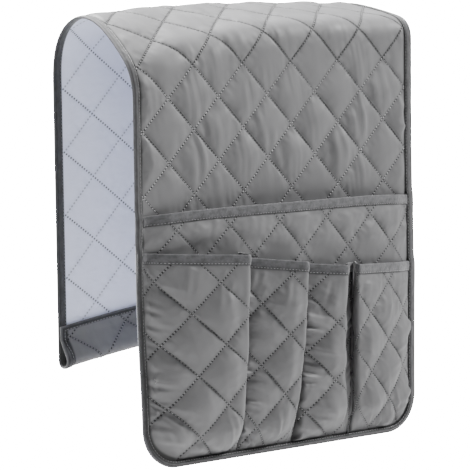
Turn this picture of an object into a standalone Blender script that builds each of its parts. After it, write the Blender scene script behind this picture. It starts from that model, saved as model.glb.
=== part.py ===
"""Sofa armrest organizer: a quilted strip that hangs over the arm of a sofa, with pockets on its front flap.

The strip is a sandwich of face cloth, wadding and lining. Its far end is turned up and sewn into a casing.
A wide pocket covers the lower half of the front flap, and four small pockets with folded sides are
sewn to that pocket. Every raw edge is closed by a folded tape.

+X runs along the arm, -Y is the pocket side, +Z is up. The origin is on the lining, under the crest of the
arch at mid width, where the top of the sofa arm carries the strip.
"""
import math

import bmesh
import bpy
import numpy as np

# Strip: width, and cut length from the front hem to the fold of the casing
strip_width = 0.330
length_to_fold = 0.766
hem_corner_radius = 0.036

# Course of the strip over the arm, at its left end and at its right end, measured along the lining
front_rise_left = 0.3180
front_rise_right = 0.3670
front_turn_left = 0.0545
front_turn_right = 0.0349
crest_left = 0.0120
crest_right = 0.0557
back_turn_left = 0.1346
back_turn_right = 0.0309
crest_lift = 0.0025
front_angle_left = math.radians(44.5)
front_angle_right = math.radians(75.8)
crest_angle_left = math.radians(6.0)
crest_angle_right = math.radians(7.4)
end_falloff = 3.0

# Casing at the end of the back flap
casing_fold_radius = 0.0060
casing_lean = math.radians(30.0)
casing_slope = 0.0155
casing_settle = 0.0040
casing_hem = 0.0100

# Cloths and seams
cloth = 0.0004
wadding_pressed = 0.0004
tape_cloth = 0.0005
clearance = 0.0003
tape_width = 0.0090
cover_puff = 0.0048
wide_puff = 0.0030
pocket_puff = 0.0024
puff_rise = 0.0240

# Quilting: squares on point. Their crossings start at the left seam, at one height above the front hem.
half_diagonal = 0.02836
crossing_height = 0.3531

# Wide pocket
wide_pocket_height = 0.2270
wide_pocket_ease = 0.0100
seat_ease = 0.0005
corner_ease = 0.0014

# Small pockets, from left to right: places of the seams between them, and of the folds at top and at hem
seam_1 = -0.0600
seam_2 = 0.0080
seam_3 = 0.0760
pocket_1_height = 0.1915
pocket_2_height = 0.1800
pocket_3_height = 0.1730
pocket_4_height = 0.1660
pocket_1_depth = 0.0260
pocket_2_depth = 0.0220
pocket_3_depth = 0.0180
pocket_4_depth = 0.0160
pocket_1_set_back = 0.0110
pocket_2_set_back = 0.0040
pocket_3_set_back = 0.0240
pocket_4_set_back = -0.0130
hem_gusset = 0.0110
fold_round = 0.0100
lean_room = 0.0028
gusset_turn_share = 0.60

# Facets: counts, and the turn between two rows of the quilting that calls for a row between them
curve_steps = 6
corner_steps = 5
fold_steps = 4
sharp_turn = math.radians(35.0)

half_width = strip_width / 2
seam_line = half_width - tape_width
crossing = (-seam_line, crossing_height)
hem_stack = 2 * cloth + wadding_pressed + 2 * clearance
layer_step = hem_stack + clearance
tape_room = tape_cloth + clearance
fold_angle = math.pi + casing_lean
fold_length = fold_angle * casing_fold_radius
fold_end = length_to_fold + fold_length
strip_length = fold_end + casing_slope + casing_settle + casing_hem
casing_top = fold_end + casing_slope


def smooth(share):
    """Cubic step from 0 to 1 with level ends."""
    share = np.clip(share, 0, 1)
    return share * share * (3 - 2 * share)


def mix(right, left, weight):
    return right + (left - right) * weight


def heading(across, along):
    """Angle of the strip's direction in the YZ plane: straight up at the front hem, straight down at the back.

    Three turns, each a smooth step in the length along the strip, take it over the arm. Their places go
    from the left end's values to the right end's with a power of the distance from the right end.
    """
    left = np.clip((half_width - across) / strip_width, 0, 1) ** end_falloff
    lift = crest_lift * (1 - np.clip(across / half_width, -1, 1) ** 2)
    rise = mix(front_rise_right, front_rise_left, left) + lift
    turn = mix(front_turn_right, front_turn_left, left)
    crest = mix(crest_right, crest_left, left)
    back = mix(back_turn_right, back_turn_left, left)
    front_angle = mix(front_angle_right, front_angle_left, left)
    crest_angle = mix(crest_angle_right, crest_angle_left, left)
    angle = math.pi / 2 - front_angle * smooth((along - rise) / turn)
    angle = angle - crest_angle * np.clip((along - rise - turn) / crest, 0, 1)
    angle = angle - (math.pi - front_angle - crest_angle) * smooth((along - rise - turn - crest) / back)
    angle = angle - fold_angle * np.clip((along - length_to_fold) / fold_length, 0, 1)
    return angle + casing_lean * smooth((along - casing_top) / casing_settle)


def quilt_lines(first, low, high):
    """Places between two limits that lie whole half diagonals from a first one."""
    start = math.ceil((low - first) / half_diagonal)
    stop = math.floor((high - first) / half_diagonal)
    return [first + k * half_diagonal for k in range(start, stop + 1)]


def strip_rows():
    """Lengths along the strip at which its facets turn, and all of them with the quilting's rows between."""
    bend_low = front_rise_left - half_diagonal
    bend_high = front_rise_left + front_turn_left + crest_left + back_turn_left
    bends = quilt_lines(crossing_height, bend_low, bend_high + half_diagonal)
    ends = np.array([-half_width, half_width])
    turns = [heading(ends, row) - heading(ends, row + half_diagonal) for row in bends]
    halves = [row + half_diagonal / 2 for row, turn in zip(bends, turns) if turn.max() > sharp_turn]
    fold = [length_to_fold + fold_length * k / fold_steps for k in range(fold_steps + 1)]
    casing = [casing_top, casing_top + casing_settle, strip_length]
    turning = sorted([0.0, tape_width] + bends + halves + fold + casing)
    level = quilt_lines(crossing_height, tape_width + cloth, length_to_fold - cloth)
    level = [row for row in level if row < bends[0] - cloth or row > bends[-1] + cloth]
    return np.array(turning), np.array(sorted(turning + level))


TURNING_ROWS, ROWS = strip_rows()


def course(across):
    """Lining points at every row for each value of across: the heading summed in short even steps."""
    fine = np.linspace(ROWS[:-1], ROWS[1:], curve_steps + 1)
    middle = (fine[1:] + fine[:-1]) / 2
    step = (fine[1:] - fine[:-1])
    angle = heading(across[:, None, None], middle[None])
    y = np.cumsum((np.cos(angle) * step).sum(1), 1)
    z = np.cumsum((np.sin(angle) * step).sum(1), 1)
    start = np.zeros((len(across), 1))
    return np.hstack([start, y]), np.hstack([start, z])


def crest_point():
    """The strip's highest point at mid width, which is the origin of the model."""
    y, z = course(np.zeros(1))
    top = z[0].argmax()
    return y[0, top], z[0, top]


CREST_Y, CREST_Z = crest_point()

# Heights near the hem at which the pockets' facets turn: over the tape, and where the flap behind them swells
LOW_ROWS = [tape_width, 2 * tape_width, tape_width + puff_rise]


def on_strip(across, along, off):
    """Place of a point of the strip: across and along its flat pattern, and off its lining, outwards."""
    across, along, off = np.broadcast_arrays(*np.atleast_1d(across, along, off))
    y, z = course(across)
    angle = heading(across[:, None], ROWS[None])
    row = np.clip(np.searchsorted(ROWS, along, "right") - 1, 0, len(ROWS) - 2)
    share = (along - ROWS[row]) / (ROWS[row + 1] - ROWS[row])
    pick = np.arange(len(across))

    def between(table):
        return table[pick, row] * (1 - share) + table[pick, row + 1] * share

    y = between(y) - off * between(np.sin(angle))
    z = between(z) + off * between(np.cos(angle))
    return np.column_stack([across, y - CREST_Y, z - CREST_Z])


def on_front(across, height, off):
    """Place of a point in front of the lining of the front flap, which hangs plumb."""
    across, height, off = np.broadcast_arrays(*np.atleast_1d(across, height, off))
    return np.column_stack([across, -off - CREST_Y, height - CREST_Z])


def quilt(across, along, start):
    """Swell of the wadding: 0 on the stitch lines, 1 at the middle of each square."""
    a = (across - start[0]) / half_diagonal
    b = (along - start[1]) / half_diagonal
    return np.abs(np.sin(math.pi * (a + b) / 2) * np.sin(math.pi * (a - b) / 2))


def inset(across, along, low, high, radius=0.0):
    """Distance inside the seam line of a rectangle of the flat pattern, whose hem corners may be round."""
    sides = np.minimum(across - low[0], high[0] - across)
    ends = np.minimum(along - low[1], high[1] - along)
    beyond, below = radius - sides, radius - (along - low[1])
    corner = radius - np.hypot(beyond, below)
    return np.where((beyond > 0) & (below > 0), corner, np.minimum(sides, ends)) - tape_width


def front_inset(across, height, top):
    """The same for a piece of the front flap that reaches up to a given height."""
    return inset(across, height, (-half_width, 0), (half_width, top), hem_corner_radius)


def cover_swell(across, along):
    """Height that the cover's squares may reach, which falls to nothing at the taped edges and the fold."""
    edge = smooth(front_inset(across, along, strip_length) / puff_rise)
    casing = smooth(np.abs(along - (length_to_fold + fold_end) / 2) / puff_rise - 1 / 2)
    return cover_puff * edge * casing


def wide_swell(across, height):
    """The same for the wide pocket, which the small pockets press flat behind them."""
    edge = smooth(front_inset(across, height, wide_pocket_height) / puff_rise)
    mouths = np.interp(across, (seam_1, seam_2, seam_3), (pocket_1_height, pocket_2_height, pocket_3_height))
    return wide_puff * edge * smooth((height - mouths) / tape_width)


def mouth_ease(height, top, rise):
    """Extra distance that a pocket's lining keeps from the cloth behind it, where its mouth is taped."""
    return tape_room * smooth((height - top + tape_width) / rise + 1)


def wide_base(across, height):
    """Distance of the wide pocket's lining from the flap's: over the flap's squares, open at the top."""
    middle = 1 - np.clip(across / seam_line, -1, 1) ** 2
    wedge = np.clip((height - tape_width) / (wide_pocket_height - tape_width), 0, 1)
    ease = seat_ease * smooth(front_inset(across, height, strip_length) / tape_width)
    swell = cover_swell(across, height)
    ease = ease + mouth_ease(height, wide_pocket_height, tape_width)
    return layer_step + swell + ease + wide_pocket_ease * middle * wedge


def corner_inset(height):
    """How far the seam line lies inside a taped side's at a height, because the hem's corner is round."""
    reach = hem_corner_radius - tape_width
    below = np.clip(hem_corner_radius - height, 0, reach)
    return reach - np.sqrt(reach ** 2 - below ** 2)


def wide_front(across, height):
    """Distance of the wide pocket's outermost cloth from the flap's lining, squares included."""
    return wide_base(across, height) + hem_stack + wide_swell(across, height)


class Pocket:
    """A small pocket, cut as one piece that runs from its left seam to its right seam round one folded edge.

    Seen from above, its course is two straight legs that meet at the fold, rounded by a parabola. The fold
    stands away from the wide pocket by a depth that grows from nothing at the hem to its full value at
    the mouth, as the sine of a power of the height.
    """

    def __init__(self, name, left, right, height, depth, set_back, fold_on_left=False):
        self.name = name
        self.left = left
        self.right = right
        self.height = height
        self.depth = depth
        self.set_back = set_back
        self.fold_on_left = fold_on_left
        self.hem_left = tape_width if left <= -half_width else 0.0
        self.hem_right = tape_width if right >= half_width else 0.0
        gusset = math.hypot(depth, set_back)
        front = math.hypot(right - left - self.hem_left - self.hem_right - set_back, depth)
        legs = (gusset, front) if fold_on_left else (front, gusset)
        self.fold = self.hem_left + legs[0]
        self.width = self.fold + legs[1] + self.hem_right
        self.crossing = (self.hem_left, height - tape_width)

    def opening(self, height):
        """Share of the full depth that the fold has at a height."""
        share = np.clip((height - tape_width) / (self.height - tape_width), 0, 1)
        return np.sin(math.pi / 2 * share ** gusset_turn_share)

    def seams(self, height):
        """Places in the flat pattern of the left and right seams at a height."""
        left = self.hem_left + (corner_inset(height) if self.hem_left else 0)
        right = self.width - self.hem_right - (corner_inset(height) if self.hem_right else 0)
        return left, right

    def legs(self, height):
        """Ends and fold of the course at a height, as places across and distances out."""
        open_share = self.opening(height)
        left, right = self.seams(height)
        start = self.left + left
        end = self.right + right - self.width
        gusset = mix(self.set_back, hem_gusset, 1 - open_share)
        fold = start + gusset if self.fold_on_left else end - gusset
        return start, end, fold, self.depth * open_share

    def course(self, along, height):
        """Place across and distance out of a point of the flat pattern."""
        start, end, fold, depth = self.legs(height)
        left, right = self.seams(height)
        first = (along - left) / (self.fold - left)
        second = (along - self.fold) / (right - self.fold)

        def straight(share_1, share_2):
            on_first = np.where(share_1 < 1, np.clip(share_1, 0, 1), 1)
            on_second = np.clip(share_2, 0, 1)
            x = start + (fold - start) * on_first + (end - fold) * on_second
            return x, depth * on_first * (1 - on_second)

        turn = np.clip((along - self.fold + fold_round) / (2 * fold_round), 0, 1)
        x_1, out_1 = straight(1 - fold_round / (self.fold - left), 0 * turn)
        x_2, out_2 = straight(1 + 0 * turn, fold_round / (right - self.fold))
        x, out = straight(first, second)
        near = np.abs(along - self.fold) < fold_round
        curve_x = (1 - turn) ** 2 * x_1 + 2 * turn * (1 - turn) * fold + turn ** 2 * x_2
        curve_out = (1 - turn) ** 2 * out_1 + 2 * turn * (1 - turn) * depth + turn ** 2 * out_2
        x = np.where(near, curve_x, x) + np.minimum(along - left, 0) + np.maximum(along - right, 0)
        return x, np.where(near, curve_out, out)

    def swell(self, along, height):
        low = (self.hem_left - tape_width, 0)
        high = (self.width - self.hem_right + tape_width, self.height)
        radius = hem_corner_radius if self.hem_left or self.hem_right else 0.0
        edge = inset(along, height, low, high, radius)
        fold = smooth((np.abs(along - self.fold) - fold_round / 2) / puff_rise)
        return pocket_puff * smooth(edge / puff_rise) * fold

    def place(self, along, height, off):
        """Place of a point of the pocket, off its lining, on facets between its columns and rows."""
        along, height, off = np.broadcast_arrays(*np.atleast_1d(along, height, off))
        column = np.clip(np.searchsorted(self.columns, along, "right") - 1, 0, len(self.columns) - 2)
        row = np.clip(np.searchsorted(self.rows, height, "right") - 1, 0, len(self.rows) - 2)
        place = 0
        for c in (0, 1):
            for r in (0, 1):
                low, high = self.columns[column], self.columns[column + 1]
                share = (along - low) / (high - low)
                weight = share if c else 1 - share
                low, high = self.rows[row], self.rows[row + 1]
                share = (height - low) / (high - low)
                weight = weight * (share if r else 1 - share)
                corner = self.smooth_place(self.columns[column + c], self.rows[row + r], off)
                place = place + corner * weight[:, None]
        return place

    def smooth_place(self, along, height, off):
        """The same on the true course. The outermost cloth, the tape's, ends at the seams."""
        reach = fold_round / 4
        low, high = np.maximum(along - reach, 0), np.minimum(along + reach, self.width)
        x_low, out_low = self.course(low, height)
        x_high, out_high = self.course(high, height)
        x, out = self.course(along, height)
        base = wide_front(x, height) + clearance + mouth_ease(height, self.height, half_diagonal)
        out_low = out_low + wide_front(x_low, height)
        out_high = out_high + wide_front(x_high, height)
        run = np.hypot(x_high - x_low, out_high - out_low)
        side_x, side_out = -(out_high - out_low) / run, (x_high - x_low) / run
        lift = hem_stack * np.maximum(-side_out, 0)
        x = x + (off - hem_stack - tape_room) * side_x
        return on_front(x, height, base + out + lift + off * side_out)

    def set_lines(self):
        """Columns and rows at which the facets turn."""
        round_lines = [self.fold + fold_round * share for share in (-1, -1 / 3, 1 / 3, 1)]
        grid = quilt_lines(self.hem_left, self.hem_left, self.width)
        grid = [c for c in grid if abs(c - self.fold) > fold_round * 3 / 2]
        ends = [0.0, self.hem_left, self.width - self.hem_right, self.width]
        self.columns = thin_out(ends + round_lines + grid, self.width)
        rows = quilt_lines(self.crossing[1], LOW_ROWS[-1] + cloth, self.height)
        rows += [0.0, *LOW_ROWS, self.height]
        self.rows = thin_out(rows, self.height)

    def front_zone(self, centre):
        """The front leg inside the taped mouth and hems, where the quilting shows."""
        level = tape_width < centre.y < self.height - tape_width
        on_front = centre.x > self.fold + fold_round if self.fold_on_left else centre.x < self.fold - fold_round
        return level and on_front and self.hem_left < centre.x < self.width - self.hem_right


def thin_out(values, last):
    """Sorted values from 0 to the last one, without those that nearly repeat their neighbour."""
    values = sorted(value for value in values if 0 <= value <= last)
    kept = [values[0]]
    for value in values[1:]:
        if value - kept[-1] > tape_cloth * 2:
            kept.append(value)
    kept[-1] = last
    return np.array(kept)


def pockets():
    left, right = -half_width, half_width
    gap = clearance / 2
    items = [
        Pocket("pocket_1", left, seam_1 - gap, pocket_1_height, pocket_1_depth, pocket_1_set_back),
        Pocket("pocket_2", seam_1 + gap, seam_2 - gap, pocket_2_height, pocket_2_depth, pocket_2_set_back),
        Pocket("pocket_3", seam_2 + gap, seam_3 - gap, pocket_3_height, pocket_3_depth, pocket_3_set_back),
        Pocket("pocket_4", seam_3 + lean_room, right, pocket_4_height, pocket_4_depth, pocket_4_set_back, True),
    ]
    for item in items:
        item.set_lines()
    return items


def hem_corner(centre, first, inward=0.0):
    """Points of a round corner at the hem, and the directions out from its centre."""
    points = []
    for k in range(corner_steps + 1):
        angle = first + math.pi / 2 * k / corner_steps
        out = (math.cos(angle), math.sin(angle))
        reach = hem_corner_radius - inward
        points.append(((centre[0] + reach * out[0], centre[1] + reach * out[1]), out))
    return points


def outline(low, high, inward=0.0, round_left=True, round_right=True):
    """Corners of a rectangle in the flat pattern, anticlockwise. Its corners at the hem may be round."""
    radius = hem_corner_radius
    left = [(low[0] + inward, low[1] + inward)]
    right = [(high[0] - inward, low[1] + inward)]
    if round_left:
        left = [point for point, out in hem_corner((low[0] + radius, low[1] + radius), math.pi, inward)]
    if round_right:
        centre = (high[0] - radius, low[1] + radius)
        right = [point for point, out in hem_corner(centre, math.pi * 3 / 2, inward)]
    return left + right + [(high[0] - inward, high[1] - inward), (low[0] + inward, high[1] - inward)]


def cut_line(bm, point, normal, zone=None):
    """Split the faces of a flat pattern along a line, those inside the zone only."""
    faces = [face for face in bm.faces if zone is None or zone(face.calc_center_median())]
    edges = {edge for face in faces for edge in face.edges}
    verts = {vert for face in faces for vert in face.verts}
    bmesh.ops.bisect_plane(bm, geom=faces + list(edges) + list(verts), dist=tape_cloth / 10,
                           plane_co=(point[0], point[1], 0), plane_no=(normal[0], normal[1], 0))


def flat_pattern(outer, inner, rows, columns, field_rows=(), stitched=None, start=None):
    """Flat pattern: a hem ring between two outlines, left out where they touch, and the field inside it, cut
    where it bends and along the quilting's stitch lines, and split into triangles. Rows run right across; the
    field's own rows and the columns stay in the field. Corners that nearly meet are welded, those of the rim
    before the stitch lines are cut, so that every pattern on one outline and one set of rows has one rim.
    Returns its corners, its triangles and the edges of its rim."""
    bm = bmesh.new()
    outside = [bm.verts.new((x, y, 0)) for x, y in outer]
    if inner:
        inside = [bm.verts.new((x, y, 0)) for x, y in inner]
        for i, vert in enumerate(outside):
            j = (i + 1) % len(outside)
            if outside[i].co.y != inside[i].co.y or outside[j].co.y != inside[j].co.y:
                bm.faces.new([vert, outside[j], inside[j], inside[i]])
        bm.faces.new(inside)
    else:
        bm.faces.new(outside)
    for row in rows:
        cut_line(bm, (0, row), (0, 1))
    for column in columns:
        cut_line(bm, (column, 0), (1, 0), between_seams if inner else None)
    bmesh.ops.remove_doubles(bm, verts=bm.verts[:], dist=tape_cloth)
    for row in field_rows:
        cut_line(bm, (0, row), (0, 1), in_field)
    if stitched:
        reach = max(abs(value) for point in outer for value in point) * 2
        count = int(reach / half_diagonal)
        for k in range(-count, count + 1):
            place = (start[0] + 2 * k * half_diagonal, start[1])
            cut_line(bm, place, (1, 1), stitched)
            cut_line(bm, place, (1, -1), stitched)
    free = [vert for vert in bm.verts if not (inner and vert.is_boundary)]
    bmesh.ops.remove_doubles(bm, verts=free, dist=tape_cloth)
    bmesh.ops.triangulate(bm, faces=bm.faces[:])
    bm.normal_update()
    for face in bm.faces:
        if face.normal.z < 0:
            face.normal_flip()
    bm.verts.index_update()
    corners = np.array([vert.co[:2] for vert in bm.verts])
    triangles = np.array([[vert.index for vert in face.verts] for face in bm.faces])
    rim = [[loop.vert.index, loop.link_loop_next.vert.index] for edge in bm.edges
           if edge.is_boundary for loop in edge.link_loops]
    bm.free()
    return corners, triangles, rim


def material(name, colour, roughness, sheen=0.0):
    cloth_finish = bpy.data.materials.new(name)
    cloth_finish.use_nodes = True
    shader = cloth_finish.node_tree.nodes["Principled BSDF"]
    shader.inputs["Base Color"].default_value = (*colour, 1)
    shader.inputs["Roughness"].default_value = roughness
    shader.inputs["Metallic"].default_value = 0.0
    shader.inputs["Sheen Weight"].default_value = sheen
    cloth_finish.diffuse_color = (*colour, 1)
    return cloth_finish


def finish_solid(name, points, faces, finish):
    """New object from points and faces, turned so that its volume is positive."""
    mesh = bpy.data.meshes.new(name)
    mesh.from_pydata([tuple(point) for point in points], [], [tuple(int(i) for i in face) for face in faces])
    bm = bmesh.new()
    bm.from_mesh(mesh)
    if bm.calc_volume(signed=True) < 0:
        bmesh.ops.reverse_faces(bm, faces=bm.faces[:])
    bm.to_mesh(mesh)
    bm.free()
    mesh.materials.append(finish)
    solid = bpy.data.objects.new(name, mesh)
    bpy.context.scene.collection.objects.link(solid)
    return solid


def rim_key(point):
    return round(point[0] / (tape_cloth / 10)), round(point[1] / (tape_cloth / 10))


def add_ply(name, below, above, place, low, high, finish):
    """One cloth: a flat pattern laid at each of two distances off the lining, closed along the rim, whose
    corners the two patterns share."""
    under = place(*below[0].T, low)
    over = place(*above[0].T, high)
    count = len(under)
    partner = {rim_key(above[0][i]): i for edge in above[2] for i in edge}
    pairs = {i: partner[rim_key(below[0][i])] + count for edge in below[2] for i in edge}
    walls = [(a, b, pairs[b], pairs[a]) for a, b in below[2]]
    faces = [tuple(t[::-1]) for t in below[1]] + [tuple(t + count) for t in above[1]] + walls
    return finish_solid(name, np.vstack([under, over]), faces, finish)


def add_sandwich(name, quilted, plain, place, base, swell, finishes):
    """Lining, wadding and face of one quilted piece: flat towards the lining, swollen towards the face."""
    bottom = base(*plain[0].T)
    add_ply(name + "_lining", plain, plain, place, bottom, bottom + cloth, finishes["lining"])
    bottom = bottom + cloth + clearance
    top = base(*quilted[0].T) + cloth + clearance + wadding_pressed + swell(*quilted[0].T)
    add_ply(name + "_wadding", plain, quilted, place, bottom, top, finishes["wadding"])
    top = top + clearance
    add_ply(name + "_face", quilted, quilted, place, top, top + cloth, finishes["face"])


def add_tape(name, stations, place, stack, finish, width=tape_width, closed=False):
    """Folded tape: a channel section carried along the edge. A station is a point of the edge, in the flat
    pattern, and the direction into the cloth. Stack gives the distances off the lining that it clasps."""
    points, inward = (np.array(part, float) for part in zip(*stations))
    section = [(width, 0, -tape_room), (-tape_room, 0, -tape_room), (-tape_room, 1, tape_room),
               (width, 1, tape_room), (width, 1, clearance), (-clearance, 1, clearance),
               (-clearance, 0, -clearance), (width, 0, -clearance)]
    rings = []
    for reach, side, gap in section:
        clasped = stack(*(points + inward * max(reach, 0)).T)[side]
        rings.append(place(*(points + inward * reach).T, clasped + gap))
    rings = np.array(rings).transpose(1, 0, 2)
    count, sides = rings.shape[:2]
    faces = []
    for i in range(count if closed else count - 1):
        here, after = i * sides, (i + 1) % count * sides
        faces += [(here + k, here + (k + 1) % sides, after + (k + 1) % sides, after + k) for k in range(sides)]
    if not closed:
        legs = [(0, 1, 6, 7), (1, 2, 5, 6), (2, 3, 4, 5)]
        last = (count - 1) * sides
        faces += [leg[::-1] for leg in legs] + [tuple(last + k for k in leg) for leg in legs]
    return finish_solid(name, rings.reshape(-1, 3), faces, finish)


def between_seams(centre):
    return abs(centre.x) < seam_line


def in_field(centre):
    """Inside the hem ring, whose two corners are round."""
    beyond = abs(centre.x) - half_width + hem_corner_radius
    below = hem_corner_radius - centre.y
    if beyond > 0 and below > 0:
        return math.hypot(beyond, below) < hem_corner_radius - tape_width
    return between_seams(centre) and centre.y > tape_width


def cover_stitched(centre):
    """The field where the quilting shows: all of it but the casing's fold and its taped end."""
    return in_field(centre) and (centre.y < length_to_fold or fold_end < centre.y < casing_top)


def cover_swell_quilted(across, along):
    return cover_swell(across, along) * quilt(across, along, crossing)


def add_cover(finishes):
    low, high = (-half_width, 0.0), (half_width, strip_length)
    outer = outline(low, high)
    inner = outline(low, high, tape_width)
    columns = quilt_lines(crossing[0], cloth - seam_line, seam_line - cloth)
    rows = TURNING_ROWS[2:-1]
    level = sorted(set(ROWS) - set(TURNING_ROWS))
    quilted = flat_pattern(outer, inner, rows, columns, level, cover_stitched, crossing)
    plain = flat_pattern(outer, inner, rows, columns)
    add_sandwich("cover", quilted, plain, on_strip, lambda across, along: 0 * across, cover_swell_quilted,
                 finishes)


def wide_swell_quilted(across, height):
    return wide_swell(across, height) * quilt(across, height, crossing)


def add_wide_pocket(finishes):
    low, high = (-half_width, 0.0), (half_width, wide_pocket_height)
    outer = outline(low, high)
    inner = outline(low, (high[0], high[1] + tape_width), tape_width)
    top_rows = [wide_pocket_height - 2 * tape_width, wide_pocket_height - tape_width]
    shown = quilt_lines(crossing_height, pocket_4_height - 2 * tape_width, top_rows[0] - cloth)
    rows = LOW_ROWS + shown + top_rows
    columns = quilt_lines(crossing[0], cloth - seam_line, seam_line - cloth)

    def above_pockets(centre):
        return in_field(centre) and shown[0] < centre.y < top_rows[0]

    quilted = flat_pattern(outer, inner, rows, columns, (), above_pockets, crossing)
    add_sandwich("wide_pocket", quilted, quilted, on_front, wide_base, wide_swell_quilted, finishes)


def add_small_pocket(item, finishes):
    outer = outline((0.0, 0.0), (item.width, item.height), 0.0, item.hem_left > 0, item.hem_right > 0)
    pattern = flat_pattern(outer, None, item.rows[1:-1], item.columns[1:-1], stitched=item.front_zone,
                           start=item.crossing)

    def swell(along, height):
        return item.swell(along, height) * quilt(along, height, item.crossing)

    add_sandwich(item.name, pattern, pattern, item.place, lambda along, height: 0 * along, swell, finishes)


def edge_stations(items):
    """Stations right round the strip, anticlockwise in the flat pattern, starting at the hem's left corner."""
    radius = hem_corner_radius
    corners = hem_corner((-half_width + radius, radius), math.pi)
    corners += hem_corner((half_width - radius, radius), math.pi * 3 / 2)
    stations = [(point, (-out[0], -out[1])) for point, out in corners]

    def side(across, rows, inward):
        stations.extend([((across, row), (inward, 0)) for row in rows])

    def heights(pocket_height):
        flat = []
        for top, rise in ((pocket_height, half_diagonal), (wide_pocket_height, tape_width)):
            flat += [top - tape_width - rise, top - tape_width, top + tape_cloth, top + tape_width]
        return flat + [row for row in TURNING_ROWS if row > max(flat) + tape_cloth]

    right = heights(items[-1].height)
    side(half_width, right[:-1], -1)
    stations.append(((half_width, strip_length), (-1, -1)))
    columns = quilt_lines(crossing[0], cloth - seam_line, seam_line - cloth)
    stations.extend([((column, strip_length), (0, -1)) for column in columns[::-1]])
    stations.append(((-half_width, strip_length), (1, -1)))
    side(-half_width, heights(items[0].height)[-2::-1], 1)
    return stations


def edge_stack(items):
    """What the edge tape clasps: the strip alone, with the wide pocket below its mouth, and with a small
    pocket too below theirs."""
    def layer(along, top, rise):
        return (layer_step + mouth_ease(along, top, rise)) * (along <= top + tape_cloth)

    def stack(across, along):
        pocket_height = np.where(across < 0, items[0].height, items[-1].height)
        high = hem_stack + layer(along, wide_pocket_height, tape_width)
        high = high + layer(along, pocket_height, half_diagonal)
        return 0 * along, high + corner_ease * (along < hem_corner_radius - tape_cloth)
    return stack


def add_tapes(items, finishes):
    finish = finishes["tape"]
    add_tape("edge_tape", edge_stations(items), on_strip, edge_stack(items), finish, closed=True)
    inside = seam_line - clearance
    columns = quilt_lines(crossing[0], cloth - inside, inside - cloth)
    places = sorted(columns + [-inside, inside])
    stations = [((place, wide_pocket_height), (0, -1)) for place in places]

    def wide_stack(across, height):
        base = wide_base(across, height)
        return base, base + hem_stack

    add_tape("wide_pocket_tape", stations, on_front, wide_stack, finish)
    for item in items:
        ends = [item.hem_left + clearance if item.hem_left else 0.0,
                item.width - (item.hem_right + clearance if item.hem_right else 0.0)]
        places = [c for c in item.columns if ends[0] + tape_cloth < c < ends[1] - tape_cloth]
        stations = [((place, item.height), (0, -1)) for place in [ends[0], *places, ends[1]]]
        add_tape(item.name + "_tape", stations, item.place,
                 lambda along, height: (0 * along, 0 * along + hem_stack), finish)


def build():
    for old in list(bpy.data.objects):
        bpy.data.objects.remove(old)
    finishes = {
        "face": material("grey face cloth", (0.215, 0.215, 0.220), 0.50, 0.3),
        "wadding": material("white wadding", (0.800, 0.800, 0.790), 0.95),
        "lining": material("pale lining cloth", (0.560, 0.575, 0.640), 0.80),
        "tape": material("dark grey tape", (0.105, 0.105, 0.110), 0.75),
    }
    items = pockets()
    add_cover(finishes)
    add_wide_pocket(finishes)
    for item in items:
        add_small_pocket(item, finishes)
    add_tapes(items, finishes)


build()
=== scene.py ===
"""Sofa armrest organizer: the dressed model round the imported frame.

Each quilted piece is a panel: a flat pattern and the rule by which it lies in space. Its face cloth, wadding
and lining are shells between two heights off that pattern, and its tapes and stitches ride on the same rule.
"""
import math

import bpy
import numpy as np
from mathutils import Matrix, Vector


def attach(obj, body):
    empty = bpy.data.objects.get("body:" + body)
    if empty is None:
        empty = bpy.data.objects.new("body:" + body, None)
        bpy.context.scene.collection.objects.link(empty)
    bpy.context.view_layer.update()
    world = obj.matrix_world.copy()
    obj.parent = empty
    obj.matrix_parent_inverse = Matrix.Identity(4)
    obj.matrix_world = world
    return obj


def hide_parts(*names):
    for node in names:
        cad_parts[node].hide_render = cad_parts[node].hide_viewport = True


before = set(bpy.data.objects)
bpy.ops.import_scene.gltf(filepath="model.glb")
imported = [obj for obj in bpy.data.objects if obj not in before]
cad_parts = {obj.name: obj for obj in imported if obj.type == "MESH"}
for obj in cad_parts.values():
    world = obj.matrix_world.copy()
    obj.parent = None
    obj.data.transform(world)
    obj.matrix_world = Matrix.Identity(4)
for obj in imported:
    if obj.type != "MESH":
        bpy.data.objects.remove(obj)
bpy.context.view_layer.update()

# Strip
strip_width = 0.330
half_width = strip_width / 2
length_to_fold = 0.766
hem_corner_radius = 0.036
crest_y, crest_z = 0.069824, 0.403646

# Course over the arm, left and right ends
front_rise = (0.3180, 0.3670)
front_turn = (0.0545, 0.0349)
crest_run = (0.0120, 0.0557)
back_turn = (0.1346, 0.0309)
front_angle = (math.radians(44.5), math.radians(75.8))
crest_angle = (math.radians(6.0), math.radians(7.4))
crest_lift = 0.0025
end_falloff = 3.0
table_columns, table_rows = 67, 1601

# Casing
fold_radius = 0.0060
casing_lean = math.radians(30.0)
fold_angle = math.pi + casing_lean
fold_end = length_to_fold + fold_angle * fold_radius
casing_rise, casing_settle, casing_end = 0.0155, 0.0040, 0.0100
casing_top = fold_end + casing_rise
strip_length = casing_top + casing_settle + casing_end

# Cloths
cloth = 0.00025
wadding_pressed = 0.0003
tape_cloth = 0.0004
clearance = 0.0001
tape_width = 0.0090
lining_leg, mouth_leg = 0.0074, 0.0086
low_left_leg, left_leg, right_leg, hem_leg, end_leg = 0.0044, 0.0063, 0.0086, 0.0055, 0.0040
leg_turn, leg_turn_run = 0.170, 0.05
end_leg_delay, end_leg_run = 0.002, 0.012
hem_stack = 2 * cloth + wadding_pressed + 2 * clearance
layer_step = hem_stack + clearance
tape_room = tape_cloth + clearance
seam_line = half_width - tape_width
least_length = 1e-6

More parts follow.
